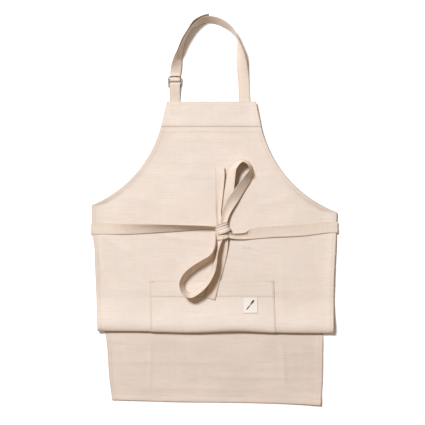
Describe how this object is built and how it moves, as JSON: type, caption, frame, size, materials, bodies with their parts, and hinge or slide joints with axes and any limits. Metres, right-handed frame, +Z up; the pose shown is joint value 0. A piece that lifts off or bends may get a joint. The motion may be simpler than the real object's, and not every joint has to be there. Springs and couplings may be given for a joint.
{
  "type": "artist apron",
  "caption": "Canvas bib apron laid flat with its skirt folded under, ties in a bow and a neck strap adjusted through paired rings.",
  "frame": {"origin": "middle of the apron's bounding box in plan, on the surface that it lies on", "axes": "+Y towards the neck strap, +X to the right as seen from the front, +Z up out of the apron's front"},
  "size_m": [0.6514, 1.0314, 0.0335],
  "materials": {
    "canvas": "unbleached cotton canvas",
    "canvas_trim": "unbleached cotton canvas",
    "tape": "cotton bias tape",
    "label": "woven damask label",
    "webbing": "folded canvas band",
    "thread": "cotton-wrapped thread",
    "ring_steel": "nickel-plated wire"
  },
  "bodies": {
    "apron": {"body_panel": "canvas", "bib_facing": "canvas_trim", "armhole_tape_left": "tape", "armhole_tape_right": "tape", "pocket": "canvas_trim", "woven_label": "label", "neck_strap": "webbing", "ring_tab": "webbing", "waist_tie_left": "webbing", "waist_tie_right": "webbing", "bib_stitching": "thread", "armhole_stitching": "thread", "side_stitching": "thread", "bottom_hem_stitching": "thread", "pocket_stitching": "thread", "pocket_bartacks": "thread", "label_stitching": "thread", "strap_stitching": "thread", "tie_stitching": "thread"},
    "front_ring": {"d_ring_front": "ring_steel"},
    "back_ring": {"d_ring_back": "ring_steel"}
  },
  "joints": [
    {"name": "front_ring_swing", "type": "hinge", "parent": "apron", "child": "front_ring", "pos_m": [-0.1042, 0.32787, 0.00425], "axis": [1, 0, 0], "range_deg": [0, 20], "deforming": ["neck_strap", "ring_tab"]},
    {"name": "back_ring_swing", "type": "hinge", "parent": "apron", "child": "back_ring", "pos_m": [-0.1042, 0.32787, 0.00425], "axis": [1, 0, 0], "range_deg": [0, 20]}
  ],
  "couplings": [
    {"joint": "back_ring_swing", "follows": "front_ring_swing", "ratio": 1}
  ]
}
